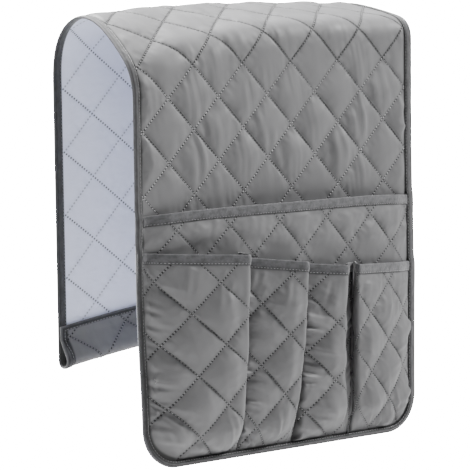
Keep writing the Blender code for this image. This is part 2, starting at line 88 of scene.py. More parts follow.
# Swell of the tapes, and the mark that tells a leg under the cloth from one over it: the leg under the
# cloth gets painted shade
tape_swell, tape_swell_stretch, tape_swell_power = 0.00050, 1.15, 0.8
tape_uneven, tape_grain, legs_in_a_metre = 0.45, (0.0042, 0.0034), 120
tape_leg_places, tape_turn_places, least_leg = 8, 9, 0.001
inner_mark = 0.02
tape_step, mouth_step = 0.0016, 0.0013
edge_tape_seed, wide_tape_seed, small_tape_seed = 3, 4, 5

# Quilting: cells are counted along half a square's diagonal
cover_cells, wide_cells, pocket_cells = 12, 16, 20
cover_seed, wide_seed, pocket_seed, seeds_apart = 11, 31, 51, 10
half_diagonal = 0.02836
line_pitch = half_diagonal * math.sqrt(2)
crossing = (-seam_line, 0.3531)
puff_rise = 0.0240
cover_room, wide_room = 0.0048, 0.0030
cover_puff, wide_puff, pocket_puff = 0.0050, 0.0046, 0.0056
puff_powers = (0.50, 0.85)
edge_rise, edge_uneven, edge_grain = 0.0075, 0.75, (0.0065, 0.0065)
mouth_share = 0.28

# Stitches
stitch_step = line_pitch / 13
stitch_share = 0.36
falling_thread = 0.72
row_step, row_start, row_stop = 0.0030, 0.14, 0.86
row_reach = 0.88
tape_thread, small_thread = 0.00030, 0.00020
least_margin = 0.0006
line_spare = 1.5
probe = 0.001
stitch_sides = 4
stitch_rings = ((0.0, -1.6, 0.6), (0.22, 0.5, 1.0), (0.78, 0.5, 1.0), (1.0, -1.6, 0.6))

# Creases of the cloths: sizes are across and along
lattice, lattice_start = 64, (19.3, 23.7)
square_uneven, square_size = 0.20, (0.031, 0.027)
streak_slant, streak_size = 0.16, (0.0065, 0.040)
patch_bias, patch_size = 0.6, (0.04, 0.05)
drift_share, drift_slant, drift_size = 0.09, 0.3, (0.016, 0.03)
gather_start, gather_fade, gather_slant = 0.006, 0.016, 0.25
gather_grain, gather_length = 0.85, 0.030
fan_edge, fan_strength, fan_fade, fan_start, fan_size = 0.002, 2.0, 0.026, 0.014, (0.26, 1.0)
pucker_fade, pucker_length = 0.005, 0.028
lining_uneven, lining_size = 0.6, (0.020, 0.030)

# Painted shade beside the tapes and seams
mouth_light, mouth_light_start, mouth_light_run = 0.0013, 0.02, 0.01
seam_shade, shade_reach = 0.35, 0.05

# Hang of the front flap
flap_depth, flap_fade = 0.045, 0.02
drawn_in, drawn_height, drawn_edge, drawn_run = 0.0042, 0.170, 0.06, 0.22
wave_depth, wave_size, wave_start, wave_seed = 0.0010, (0.09, 0.12), 0.05, 5

# Pockets
wide_height = 0.2270
wide_ease = 0.0100
wide_fall = 0.0048
seat_ease = 0.0005
corner_ease = 0.0014
seams, last_gap = (-0.0600, 0.0080, 0.0760), 0.0028
heights = (0.1915, 0.1800, 0.1730, 0.1660)
hem_gusset = 0.0110
fold_round = 0.0065
gusset_turn_share = 0.60
bow_power = 0.8
lean_start, lean_stop = 0.03, 0.012


# Shapes in the flat

def smooth(share):
    """Cubic step from 0 to 1 with level ends."""
    share = np.clip(share, 0, 1)
    return share * share * (3 - 2 * share)


def mix(low, high, share):
    return low + (high - low) * share


def field(u, v, size, seed):
    """Smooth random field from -1 to 1: seeded values on a lattice, blended by cubic steps."""
    table = np.random.default_rng(seed).uniform(-1, 1, (lattice, lattice))
    p, q = u / size[0] + lattice_start[0], v / size[1] + lattice_start[1]
    i, j = np.floor(p).astype(int), np.floor(q).astype(int)
    s, t = smooth(p - i), smooth(q - j)
    after_i, after_j = (i + 1) % lattice, (j + 1) % lattice
    i, j = i % lattice, j % lattice
    low = mix(table[i, j], table[after_i, j], s)
    high = mix(table[i, after_j], table[after_i, after_j], s)
    return mix(low, high, t)


def pillow(u, v, start):
    """Swell of one square: the product of two sines, each to a power, 0 on the stitch lines and 1 at its
    middle. It rises more steeply from the lines that fall to the right."""
    a, b = (u - start[0]) / half_diagonal, (v - start[1]) / half_diagonal
    falling, rising = np.abs(np.sin(math.pi * (a + b) / 2)), np.abs(np.sin(math.pi * (a - b) / 2))
    return falling ** puff_powers[0] * rising ** puff_powers[1]


def inset(u, v, low, high, radius):
    """Distance inside the seam line of a rectangle whose corners at the hem are round."""
    sides = np.minimum(u - low[0], high[0] - u)
    ends = np.minimum(v - low[1], high[1] - v)
    beyond, below = radius - sides, radius - (v - low[1])
    corner = radius - np.hypot(beyond, below)
    return np.where((beyond > 0) & (below > 0), corner, np.minimum(sides, ends)) - tape_width


def strip_inset(u, v, top=strip_length):
    return inset(u, v, (-half_width, 0), (half_width, top), hem_corner_radius)


def left_edge_leg(v):
    """Width of the edge tape's leg over the face at the left, less where it clasps the small pocket too."""
    return mix(low_left_leg, left_leg, smooth((v - leg_turn) / leg_turn_run))


def edge_leg(u, v):
    """Width of the edge tape's leg over the face at a place on the edge."""
    side = np.where(u < 0, left_edge_leg(v), right_leg)
    leg = mix(side, hem_leg, np.clip(1 - v / hem_corner_radius, 0, 1))
    return mix(leg, end_leg, smooth((v - fold_end - end_leg_delay) / end_leg_run))


def tape_margin(panel, u, v, legs):
    """Distance inside the tapes' inner edges. Legs are the tapes' widths at the left, right, hem and end."""
    radius = hem_corner_radius
    left, right, hem, end = legs
    from_left, from_right, from_hem = u - panel.low[0], panel.high[0] - u, v - panel.low[1]
    sides = np.minimum(from_left - left, from_right - right)
    ends = np.minimum(from_hem - hem, panel.high[1] - v - end)
    beyond, below = radius - np.minimum(from_left, from_right), radius - from_hem
    away = np.maximum(np.hypot(beyond, below), least_length)
    nearer_left = from_left < from_right
    side = np.where(nearer_left, left, right)
    corner = radius - away - mix(side, hem, np.clip(below / away, 0, 1))
    turned = np.where(nearer_left, *panel.taped)
    return np.where(turned & (beyond > 0) & (below > 0), corner, np.minimum(sides, ends))


def edge_swell(panel, u, v):
    """Rise of the cloth from a tape: steep, and gathered into uneven puckers."""
    gather = 1 + edge_uneven * field(u, v, edge_grain, panel.edge_seed)
    return smooth(panel.margin(u, v) / (edge_rise * gather))


# The strip's course

def heading(u, v):
    """Angle of the strip in the YZ plane: front turn, crest and back turn over the arm, then the casing's
    fold."""
    left = np.clip((half_width - u) / strip_width, 0, 1) ** end_falloff
    lift = crest_lift * (1 - np.clip(u / half_width, -1, 1) ** 2)
    rise, turn, crest, back, first, second = (
        mix(pair[1], pair[0], left)
        for pair in (front_rise, front_turn, crest_run, back_turn, front_angle, crest_angle))
    v = v - rise - lift
    angle = math.pi / 2 - first * smooth(v / turn) - second * np.clip((v - turn) / crest, 0, 1)
    angle = angle - (math.pi - first - second) * smooth((v - turn - crest) / back)
    v = v + rise + lift
    angle = angle - fold_angle * np.clip((v - length_to_fold) / (fold_end - length_to_fold), 0, 1)
    return angle + casing_lean * smooth((v - casing_top) / casing_settle)


TABLE_U = np.linspace(-half_width, half_width, table_columns)
TABLE_V = np.linspace(0, strip_length, table_rows)


def course_tables():
    """Heading summed along the strip in steps of about half a millimetre, at each place across."""
    step = TABLE_V[1] - TABLE_V[0]
    angle = heading(TABLE_U[:, None], TABLE_V[None])
    middle = heading(TABLE_U[:, None], (TABLE_V[1:] + TABLE_V[:-1])[None] / 2)
    start = np.zeros((len(TABLE_U), 1))
    y = np.hstack([start, np.cumsum(np.cos(middle) * step, 1)]) - crest_y
    z = np.hstack([start, np.cumsum(np.sin(middle) * step, 1)]) - crest_z
    return y, z, np.cos(angle), np.sin(angle)


TABLES = course_tables()


def draped(u, v, off):
    """Point of the strip at a distance off its lining: blended between the table's places."""
    p = (u + half_width) / (TABLE_U[1] - TABLE_U[0])
    q = v / (TABLE_V[1] - TABLE_V[0])
    i = np.clip(np.floor(p).astype(int), 0, len(TABLE_U) - 2)
    j = np.clip(np.floor(q).astype(int), 0, len(TABLE_V) - 2)
    s, t = np.clip(p - i, 0, 1), q - j

    def at(table):
        low = mix(table[i, j], table[i + 1, j], s)
        return mix(low, mix(table[i, j + 1], table[i + 1, j + 1], s), t)

    y, z, cosine, sine = (at(table) for table in TABLES)
    return hang(np.stack(np.broadcast_arrays(u, y - off * sine, z + off * cosine), -1))


def on_front(u, v, off):
    """Point in front of the lining of the front flap, which hangs plumb."""
    return hang(np.stack(np.broadcast_arrays(u, -off - crest_y, v - crest_z), -1))


def hang(points):
    """The front flap's lower left edge is drawn in a little, and the flap waves slightly."""
    x, y, z = np.moveaxis(points, -1, 0)
    height = z + crest_z
    front = smooth((-y - flap_depth) / flap_fade)
    drawn = drawn_in * smooth((drawn_height - height) / drawn_height) * smooth((drawn_edge - x) / drawn_run)
    wave = wave_depth * field(x, height, wave_size, wave_seed) * smooth(height / wave_start)
    return np.stack([x + front * drawn, y + front * wave, z], -1)


# Panels

class FullWidth:
    """A panel as wide as the strip. Taped says which sides have the edge tape, and so a round hem corner."""
    start, taped, fan = crossing, (True, True), None

    def margin(self, u, v):
        return tape_margin(self, u, v, (left_edge_leg(v), right_leg, hem_leg, self.top_leg))


class Cover(FullWidth):
    name, face, top_leg, edge_seed = "cover", "cover", end_leg, 71
    low, high = (-half_width, 0.0), (half_width, strip_length)
    streaks, gathers, grain, pucker, lining_share, thread = 0.34, 0.20, 0.0075, 0.16, 0.42, 0.00042
    crest_start, crest_end = 0.352, 0.500
    # The same thread in lit and shaded copies: pale on the upper front as a painted highlight, dark over the
    # arm and in the casing as painted shade.
    threads = ((0, crest_start, "pale"), (crest_start, crest_end, "dark"),
               (crest_end, length_to_fold, "grey"), (length_to_fold, strip_length, "dark"))
    arm_start, arm_run, arm_share = 0.300, 0.065, 0.36
    mouth_run, low_share, pressed_share = 0.045, 0.15, 0.80
    behind_drop, behind_run = 0.004, 0.02

    def place(self, u, v, off):
        return draped(u, v, off)

    def room(self, u, v):
        """Height that the squares may reach, less at the tape, over the arm, in the casing's fold, at the
        wide pocket's mouth and behind it."""
        edge = edge_swell(self, u, v)
        pressed = smooth(strip_inset(u, v) / puff_rise) * cover_room / cover_puff * self.pressed_share
        behind = smooth((wide_height - self.behind_drop - v) / self.behind_run)
        low = mix(self.low_share, 1, smooth((v - wide_height) / self.mouth_run))
        fold = smooth(np.abs(v - (length_to_fold + fold_end) / 2) / puff_rise - 1 / 2)
        fold = fold * mix(1, self.arm_share, smooth((v - self.arm_start) / self.arm_run))
        return cover_puff * mix(edge * low, np.minimum(pressed, edge), behind) * fold


class WidePocket(FullWidth):
    name, face, top_leg, edge_seed = "wide_pocket", "pocket", mouth_leg, 72
    low, high = (-half_width, 0.0), (half_width, wide_height)
    streaks, gathers, grain, pucker, lining_share, thread = 0.08, 0.42, 0.0060, 0.24, 0.20, 0.00034
    threads = ((0, math.inf, "grey"),)
    mouth_run, above_run = 0.022, 0.020

    def place(self, u, v, off):
        fall = wide_fall * (u / half_width) ** 4 * smooth(v / wide_height) ** 2
        return on_front(u, v - fall, wide_base(u, v) + off)

    def room(self, u, v):
        above = smooth((v - small_mouths(u)) / self.above_run)
        return wide_puff * edge_swell(self, u, v) * above * below_mouth(v, wide_height, self.mouth_run)


def small_mouths(u):
    """Height of the small pockets' mouths, blended from seam to seam."""
    return np.interp(u, seams, heights[:3])


def below_mouth(v, top, run):
    """Share of the squares' height that is kept below a mouth's tape."""
    return mix(mouth_share, 1, smooth((top - mouth_leg - v) / run))


def mouth_ease(v, top, rise):
    return tape_room * smooth((v - top + tape_width) / rise + 1)


def cover_envelope(u, v):
    return cover_room * smooth(strip_inset(u, v) / puff_rise)


def wide_base(u, v):
    """Distance of the wide pocket's lining from the flap's: over the flap's squares, open at the top."""
    middle = 1 - np.clip(u / seam_line, -1, 1) ** 2
    wedge = np.clip((v - tape_width) / (wide_height - tape_width), 0, 1)
    ease = seat_ease * smooth(strip_inset(u, v) / tape_width) + mouth_ease(v, wide_height, tape_width)
    return layer_step + cover_envelope(u, v) + ease + wide_ease * middle * wedge


def wide_front(u, v):
    edge = smooth(strip_inset(u, v, wide_height) / puff_rise)
    swell = wide_room * edge * smooth((v - small_mouths(u)) / tape_width)
    return wide_base(u, v) + hem_stack + swell


def corner_inset(v):
    reach = hem_corner_radius - tape_width
    return reach - np.sqrt(reach ** 2 - np.clip(hem_corner_radius - v, 0, reach) ** 2)


class Pocket:
    """A small pocket: one piece that runs from its left seam to its right seam round one folded edge.

    From above its course is two straight legs rounded by a parabola at the fold, whose distance out grows
    from the hem to the mouth as the sine of a power of the height. The legs bow out a little. Tuck is the
    power by which the right leg drops behind its fold, and fan the height on the left seam that creases run
    out from. Sway moves the fold across at even heights from hem to mouth, and droop lowers the mouth at the
    left seam, the fold and the right seam.
    """
    face, edge_seed = "pocket", 73
    streaks, gathers, grain, pucker, lining_share, thread = 0.06, 0.78, 0.0052, 0.24, 0.20, 0.00030
    threads = ((0, math.inf, "grey"),)
    mouth_run, behind_share = 0.032, 0.35

    def __init__(self, name, left, right, height, depth, set_back, start, lean, droop, sway,
                 bow, fold_swell, tuck=1.0, on_left=False, fan=None):
        self.lean, self.droop, self.fold_swell, self.tuck, self.fan = lean, droop, fold_swell, tuck, fan
        self.name, self.left, self.right, self.height = name, left, right, height
        self.depth, self.set_back, self.on_left, self.sway, self.bow = depth, set_back, on_left, sway, bow
        self.hem_left = tape_width if left <= -half_width else 0.0
        self.hem_right = tape_width if right >= half_width else 0.0
        gusset = math.hypot(depth, set_back)
        front = math.hypot(right - left - self.hem_left - self.hem_right - set_back, depth)
        legs = (gusset, front) if on_left else (front, gusset)
        self.fold = self.hem_left + legs[0]
        self.width = self.fold + legs[1] + self.hem_right
        self.low, self.high = (0.0, 0.0), (self.width, height)
        self.start = start
        self.taped = (self.hem_left > 0, self.hem_right > 0)

    def course(self, u, v):
        """Place across and distance out of a point of the flat pattern."""
        share = np.clip((v - tape_width) / (self.height - tape_width), 0, 1)
        open_share = np.sin(math.pi / 2 * share ** gusset_turn_share)
        left = self.hem_left + (corner_inset(v) if self.hem_left else 0)
        right = self.width - self.hem_right - (corner_inset(v) if self.hem_right else 0)
        start, end = self.left + left, self.right + right - self.width
        gusset = mix(hem_gusset, self.set_back, open_share)
        place = np.clip(v / self.height, 0, 1) * (len(self.sway) - 1)
        below = np.minimum(np.floor(place).astype(int), len(self.sway) - 2)
        sway = np.array(self.sway)
        sway = mix(sway[below], sway[below + 1], smooth(place - below))
        fold = (start + gusset if self.on_left else end - gusset) + sway
        depth = self.depth * open_share
        first, second = (u - left) / (self.fold - left), (u - self.fold) / (right - self.fold)

        def straight(share_1, share_2):
            one, two = np.clip(share_1, 0, 1), np.clip(share_2, 0, 1)
            x = start + (fold - start) * one + (end - fold) * two
            return x, depth * one * (1 - two) ** self.tuck

        turn = np.clip((u - self.fold + fold_round) / (2 * fold_round), 0, 1)
        x_1, out_1 = straight(1 - fold_round / (self.fold - left), 0 * turn)
        x_2, out_2 = straight(1 + 0 * turn, fold_round / (right - self.fold))
        x, out = straight(first, second)
        near = np.abs(u - self.fold) < fold_round
        curve_x = (1 - turn) ** 2 * x_1 + 2 * turn * (1 - turn) * fold + turn ** 2 * x_2
        curve_out = (1 - turn) ** 2 * out_1 + 2 * turn * (1 - turn) * depth + turn ** 2 * out_2
        x = np.where(near, curve_x, x) + np.minimum(u - left, 0) + np.maximum(u - right, 0)
        leg = second if self.on_left else first
        bow = self.bow * np.sin(math.pi * np.clip(leg, 0, 1)) ** 2 * np.sin(math.pi * share ** bow_power)
        return x, np.where(near, curve_out, out) + bow

    def place(self, u, v, off):
        inside = smooth(u / lean_start) * smooth((self.width - u) / lean_stop)
        u = u + self.lean * (self.height / 2 - v) * inside
        reach = fold_round / 4
        low, high = np.maximum(u - reach, 0), np.minimum(u + reach, self.width)
        x_low, out_low = self.course(low, v)
        x_high, out_high = self.course(high, v)
        x, out = self.course(u, v)
        base = wide_front(x, v) + clearance + mouth_ease(v, self.height, half_diagonal)
        out_low = out_low + wide_front(x_low, v)
        out_high = out_high + wide_front(x_high, v)
        run = np.hypot(x_high - x_low, out_high - out_low)
        side_x, side_out = -(out_high - out_low) / run, (x_high - x_low) / run
        lift = hem_stack * np.maximum(-side_out, 0)
        x = x + (off - hem_stack - tape_room) * side_x
        fall = np.interp(u, (0, self.fold, self.width), self.droop) * smooth(v / self.height) ** 2
        return on_front(x, v - fall, base + out + lift + off * side_out)

    def margin(self, u, v):
        left, right = low_left_leg if self.hem_left else 0.0, right_leg if self.hem_right else 0.0
        return tape_margin(self, u, v, (left, right, hem_leg, mouth_leg))

    def room(self, u, v):
        edge = edge_swell(self, u, v)
        fold = smooth((np.abs(u - self.fold) - fold_round / 3) / (2 * edge_rise))
        behind = (self.fold - u if self.on_left else u - self.fold) / fold_round
        edge = edge * below_mouth(v, self.height, self.mouth_run)
        return pocket_puff * edge * mix(self.fold_swell, 1, fold) * mix(1, self.behind_share, smooth(behind))


COVER, WIDE = Cover(), WidePocket()
POCKETS = [
    Pocket("pocket_1", -half_width, seams[0] - clearance / 2, heights[0], depth=0.0260, set_back=0.0110,
           start=(-0.0099, 0.1386), lean=0.085, droop=(0, 0.0055, 0.0055),
           sway=(0.0086, 0.0068, 0.0046, 0.0046, 0.0036, 0.0040, 0.0036),
           bow=0.0030, fold_swell=0.16, fan=0.062),
    Pocket("pocket_2", seams[0] + clearance / 2, seams[1] - clearance / 2, heights[1], depth=0.0220,
           set_back=0.0040, start=(-0.0076, 0.1682), lean=0.0, droop=(-0.0015, 0.0062, 0.0062),
           sway=(0, 0, 0, 0, 0), bow=0.0020, fold_swell=0.20),
    Pocket("pocket_3", seams[1] + clearance / 2, seams[2] - clearance / 2, heights[2], depth=0.0180,
           set_back=0.0240, start=(0.0370, 0.1746), lean=0.0, droop=(0.0022, 0.0068, 0.0068),
           sway=(0.0040, 0.0044, 0.0054, 0.0046, 0.0012, 0.0044,
                 0.0012, 0.0034, 0.0026, 0.0034, 0.0045, 0.0055),
           bow=0.0020, fold_swell=0.38, tuck=2.4),
    Pocket("pocket_4", seams[2] + last_gap, half_width, heights[3], depth=0.0160, set_back=-0.0130,
           start=(0.0420, 0.1205), lean=0.0, droop=(-0.0010, 0, 0.0062),
           sway=(0.0020, 0.0020, 0.0020, 0.0020, 0.0010), bow=0.0015, fold_swell=0.10, on_left=True),
]


def painted_shade_distance(panel, u, v):
    """Distance from the tapes and seams, by which painted shade darkens the cloth beside them: less below a
    mouth's tape, and more beside a seam without a tape."""
    near_mouth = smooth((v - panel.high[1] + mouth_light_start) / mouth_light_run)
    away = panel.margin(u, v) + mouth_light * near_mouth
    for taped, seam in zip(panel.taped, (u - panel.low[0], panel.high[0] - u)):
        away = away if taped else np.minimum(away, seam_shade * seam)
    return np.minimum(away, shade_reach)


def tape_gathers(panel, u, v, seed):
    """Creases that run in from a panel's edges, and its fan of creases where it has one."""
    gather = 0 * u
    size = (panel.grain * gather_grain, gather_length)
    for along, across in ((v, np.minimum(u - panel.low[0], panel.high[0] - u)),
                          (u, np.minimum(v - panel.low[1], panel.high[1] - v))):
        near = np.exp(-np.maximum(across - gather_start, 0) / gather_fade)
        gather = gather + near * field(along + gather_slant * across, across, size, seed + 4)
    if panel.fan:
        across, along = u - panel.low[0] - fan_edge, v - panel.fan
        reach = np.hypot(across, along)
        spread = field(np.arctan2(along, across), 0 * u, fan_size, seed + 6)
        gather = gather + fan_strength * np.exp(-reach / fan_fade) * smooth(reach / fan_start) * spread
    return gather


def line_puckers(panel, u, v, seed):
    """Small puckers across the stitch lines."""
    a, b = (u - panel.start[0]) / half_diagonal, (v - panel.start[1]) / half_diagonal
    pucker = 0 * u
    for line, run in ((a + b, a - b), (a - b, a + b)):
        away = np.abs((line + 1) % 2 - 1) * half_diagonal / math.sqrt(2)
        grain = field(run * half_diagonal, line * half_diagonal, (panel.grain, pucker_length), seed + 5)
        pucker = pucker + np.exp(-away / pucker_fade) * grain
    return pucker


def face_rise(panel, u, v, seed):
    """Height of a panel's squares: the pillow, uneven from square to square, with upright creases, gathers
    that run in from the tapes, and small puckers across the stitch lines."""
    pad = pillow(u, v, panel.start)
    uneven = 1 + square_uneven * field(u, v, square_size, seed)
    patch = smooth(field(u, v, patch_size, seed + 2) + patch_bias)
    streak = field(u + streak_slant * v, v, streak_size, seed + 1) * patch
    drift = field(u - drift_slant * v, v, drift_size, seed + 3)
    gather = tape_gathers(panel, u, v, seed)
    folds = panel.streaks * streak + drift_share * drift + panel.gathers * gather
    pucker = pad * panel.pucker * line_puckers(panel, u, v, seed)
    return panel.room(u, v) * (pad * uneven + np.sqrt(pad) * folds + pucker)


# Meshes

def add_piece(name, points, triangles, finish, flat=None):
    """New closed piece from points and triangles; flat is the pattern's place of each point."""
    mesh = bpy.data.meshes.new(name)
    mesh.vertices.add(len(points))
    mesh.vertices.foreach_set("co", np.asarray(points, np.float32).ravel())
    mesh.loops.add(triangles.size)
    mesh.loops.foreach_set("vertex_index", triangles.astype(np.int32).ravel())
    mesh.polygons.add(len(triangles))
    mesh.polygons.foreach_set("loop_start", np.arange(0, triangles.size, 3, dtype=np.int32))
    mesh.update(calc_edges=True)
    mesh.shade_smooth()
    if flat is not None:
        mesh.attributes.new("flat", "FLOAT_VECTOR", "POINT").data.foreach_set(
            "vector", np.asarray(flat, np.float32).ravel())
    mesh.materials.append(finish)
    piece = bpy.data.objects.new(name, mesh)
    bpy.context.scene.collection.objects.link(piece)
    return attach(piece, "root")


def grid_lines(low, high, first, step):
    """Places from low to high at whole steps from first, with the number of each cell between them. A cell at
    an end is at least a tenth of a step."""
    least = 1 / 10
    start, stop = math.ceil((low - first) / step + least), math.floor((high - first) / step - least)
    inner = first + step * np.arange(start, stop + 1)
    return np.concatenate([[low], inner, [high]]), np.arange(start - 1, stop + 1)


def round_corners(panel, u, v):
    """For each round hem corner its side, its arc's middle, and how far places lie beyond and below that."""
    for side, taped in zip((-1, 1), panel.taped):
        if taped:
            centre = panel.low[0] + hem_corner_radius if side < 0 else panel.high[0] - hem_corner_radius
            yield side, centre, (u - centre) * side, hem_corner_radius - v


def grid_cells(panel, cells):
    """The flat pattern as a grid with whole cells from crossing to crossing: places of its points, its
    triangles, split along the stitch lines, and its rim. Points at a round corner move onto its arc."""
    step = half_diagonal / cells
    u, number_u = grid_lines(panel.low[0], panel.high[0], panel.start[0], step)
    v, number_v = grid_lines(panel.low[1], panel.high[1], panel.start[1], step)
    keep = np.ones((len(u) - 1, len(v) - 1), bool)
    uu, vv = (part.copy() for part in np.meshgrid(u, v, indexing="ij"))
    mid_u, mid_v = np.meshgrid((u[1:] + u[:-1]) / 2, (v[1:] + v[:-1]) / 2, indexing="ij")
    radius = hem_corner_radius
    for side, centre, away, below in round_corners(panel, mid_u, mid_v):
        keep &= ~((away > 0) & (below > 0) & (np.hypot(away, below) > radius))
    touched = np.zeros(uu.shape, int)
    for i in (0, 1):
        for j in (0, 1):
            touched[i:len(u) - 1 + i, j:len(v) - 1 + j] += keep
    for side, centre, away, below in round_corners(panel, uu, vv):
        length = np.hypot(away, below)
        on_arc = (away > 0) & (below > 0) & (touched > 0) & (touched < 4)
        on_arc &= (length > radius - step)
        uu = np.where(on_arc, centre + side * away / np.maximum(length, step) * radius, uu)
        vv = np.where(on_arc, radius - below / np.maximum(length, step) * radius, vv)
    used = touched > 0
    index = np.cumsum(used).reshape(used.shape) - 1
    corner = [index[i:len(u) - 1 + i, j:len(v) - 1 + j] for i, j in ((0, 0), (1, 0), (1, 1), (0, 1))]
    period = 2 * cells
    minus = (number_u[:, None] - number_v[None] + cells) % period - cells
    plus = (number_u[:, None] + number_v[None] + 1 + cells) % period - cells
    rising = np.abs(minus) <= np.abs(plus)
    triangles = []
    for rises, orders in ((True, ((0, 1, 2), (0, 2, 3))), (False, ((0, 1, 3), (1, 2, 3)))):
        chosen = keep & (rising == rises)
        triangles += [np.stack([corner[k][chosen] for k in order], 1) for order in orders]
    padded = np.pad(keep, 1)
    rim = []
    for a, b, (i, j) in ((0, 1, (1, 0)), (1, 2, (2, 1)), (2, 3, (1, 2)), (3, 0, (0, 1))):
        beside = padded[i:i + keep.shape[0], j:j + keep.shape[1]]
        edge = keep & ~beside
        rim.append(np.stack([corner[a][edge], corner[b][edge]], 1))
    return uu[used], vv[used], np.vstack(triangles), np.vstack(rim)


def add_shell(name, panel, cells, under, over, finish):
    """One cloth: the panel's grid at two heights, closed along its rim."""
    u, v, triangles, rim = grid_cells(panel, cells)
    points = np.vstack([panel.place(u, v, under(u, v)), panel.place(u, v, over(u, v))])
    count = len(u)
    a, b = rim.T
    walls = [np.stack([a, b, b + count], 1), np.stack([a, b + count, a + count], 1)]
    faces = np.vstack([triangles[:, ::-1], triangles + count, *walls])
    place = np.stack([u - panel.start[0], v - panel.start[1], painted_shade_distance(panel, u, v)], 1)
    return add_piece(name, points, faces, finish, np.vstack([place, place]))


def add_sandwich(panel, cells, seed):
    """Face cloth, wadding and lining of a panel."""
    def lining_low(u, v):
        uneven = 1 + lining_uneven * field(u, v, lining_size, seed + 8)
        return -panel.lining_share * panel.room(u, v) * pillow(u, v, panel.start) * uneven

    def rise(u, v):
        return face_rise(panel, u, v, seed)

    base = cloth + clearance
    top = base + wadding_pressed
    lining = add_shell(panel.name + "_lining_cloth", panel, cells, lining_low,
                       lambda u, v: lining_low(u, v) + cloth, finishes["lining"])
    wadding = add_shell(panel.name + "_wadding_fill", panel, cells, lambda u, v: lining_low(u, v) + base,
                        lambda u, v: top + rise(u, v), finishes["wadding"])
    face = add_shell(panel.name + "_face_cloth", panel, cells, lambda u, v: top + clearance + rise(u, v),
                     lambda u, v: hem_stack + rise(u, v), finishes[panel.face])
    return lining, wadding, face


# Tapes

def tape_section():
    """Places round a tape's section: the share of the leg from the edge, the bulge over the edge, and the
    side, from 0 under the cloth to 1 over it."""
    legs = np.linspace(1, 0, tape_leg_places)[:-1]
    turns = np.linspace(0, math.pi, tape_turn_places)
    over_edge = [(0.0, math.sin(turn), (1 - math.cos(turn)) / 2) for turn in turns]
    return [(leg, 0, 0.0) for leg in legs] + over_edge + [(leg, 0, 1.0) for leg in legs[::-1]]


def add_tape(name, path, inward, place, stack, finish, legs, seed, closed=False):
    """Folded tape carried along an edge. Its section is two skins of tape cloth's thickness: a leg on each
    side of the edge and a half round over it, with the legs a little swollen and pressed at the seam. Legs
    gives their widths under the cloth and over it. A closed path has its inside on the left, an open one on
    the right."""
    zero = stack(*path.T)
    rings, places = [], []
    run = np.concatenate([[0], np.cumsum(np.hypot(*np.diff(path, axis=0).T))])
    for gap in (tape_room, clearance):
        half = (zero[1] - zero[0]) / 2 + gap
        section = tape_section() if gap == tape_room else tape_section()[::-1]
        for leg, bulge, side in section:
            centre = half - gap
            width = mix(legs[0], legs[1], side)
            reach = centre + np.maximum(width - centre, least_leg) * leg - half * bulge
            at = path + inward * np.maximum(reach, 0)[:, None]
            low, high = stack(*at.T)
            puff = tape_swell * np.sin(math.pi * min(leg * tape_swell_stretch, 1)) ** tape_swell_power
            uneven = 1 + tape_uneven * field(run, 0 * run + leg / legs_in_a_metre, tape_grain, seed)
            off = mix(low - gap - puff * uneven, high + gap + puff * uneven, side)
            rings.append(place(*(path + inward * reach[:, None]).T, off))
            places.append(np.stack([run, reach, width - reach + inner_mark * (1 - side) + 0 * run], 1))
    rings = np.array(rings).transpose(1, 0, 2)
    places = np.array(places).transpose(1, 0, 2)
    count, sides = rings.shape[:2]
    i = np.arange(count if closed else count - 1)[:, None] * sides
    after = (i + sides) % (count * sides)
    k = np.arange(sides)[None]
    after_k = (k + 1) % sides
    corners = np.broadcast_arrays(i + k, i + after_k, after + after_k, after + k)
    a, b, c, d = (part.ravel() for part in corners)
    faces = [np.stack([a, b, c], 1), np.stack([a, c, d], 1)]
    if closed:
        faces = [part[:, ::-1] for part in faces]
    else:
        half_count = sides // 2
        k = np.arange(half_count - 1)
        a, b, c, d = k, k + 1, sides - 2 - k, sides - 1 - k
        caps = [np.stack([a, d, c], 1), np.stack([a, c, b], 1)]
        last = (count - 1) * sides
        faces += caps + [cap[:, ::-1] + last for cap in caps]
    return add_piece(name, rings.reshape(-1, 3), np.vstack(faces), finish, places.reshape(-1, 3))


def spaced(start, stop, step):
    return np.linspace(start, stop, max(2, round(abs(stop - start) / step) + 1))


def arc(centre, first, step):
    """Points of a round hem corner, and the directions in from it."""
    angle = first + spaced(0, math.pi / 2, step / hem_corner_radius)
    out = np.stack([np.cos(angle), np.sin(angle)], 1)
    return np.array(centre) + hem_corner_radius * out, -out


def edge_path(step):
    """Edge of the strip, anticlockwise in the flat pattern from the hem's left corner, and the directions
    in from it."""
    radius = hem_corner_radius

    def across(places, v, inward):
        return np.stack([places, 0 * places + v], 1), np.stack([0 * places, 0 * places + inward], 1)

    def along(places, u, inward):
        return np.stack([0 * places + u, places], 1), np.stack([0 * places + inward, 0 * places], 1)

    def end_corner(side):
        return np.array([[side * half_width, strip_length]]), np.array([[-side, -1.0]])

    hem = spaced(-half_width + radius, half_width - radius, step)[1:-1]
    side = spaced(radius, strip_length - tape_width, step)[1:]
    end = spaced(half_width - tape_width, -half_width + tape_width, step)
    parts = [arc((-half_width + radius, radius), math.pi, step), across(hem, 0, 1),
             arc((half_width - radius, radius), math.pi * 3 / 2, step), along(side, half_width, -1),
             end_corner(1.0), across(end, strip_length, -1), end_corner(-1.0),
             along(side[::-1], -half_width, 1)]
    places, inward = zip(*parts)
    return np.vstack(places), np.vstack(inward)


def edge_stack(u, v):
    """What the edge tape clasps: the strip, with the wide pocket and an outer small pocket below their
    mouths."""
    def layer(top, rise):
        return (layer_step + mouth_ease(v, top, rise)) * smooth((top + tape_width - v) / tape_width)

    outer = np.where(u < 0, heights[0], heights[3] - POCKETS[3].droop[2])
    high = hem_stack + layer(wide_height - wide_fall, tape_width) + layer(outer, half_diagonal)
    return 0 * u, high + corner_ease * smooth((hem_corner_radius - v) / hem_corner_radius)


def mouth_stack(u, v):
    return 0 * u, 0 * u + hem_stack


# Stitches

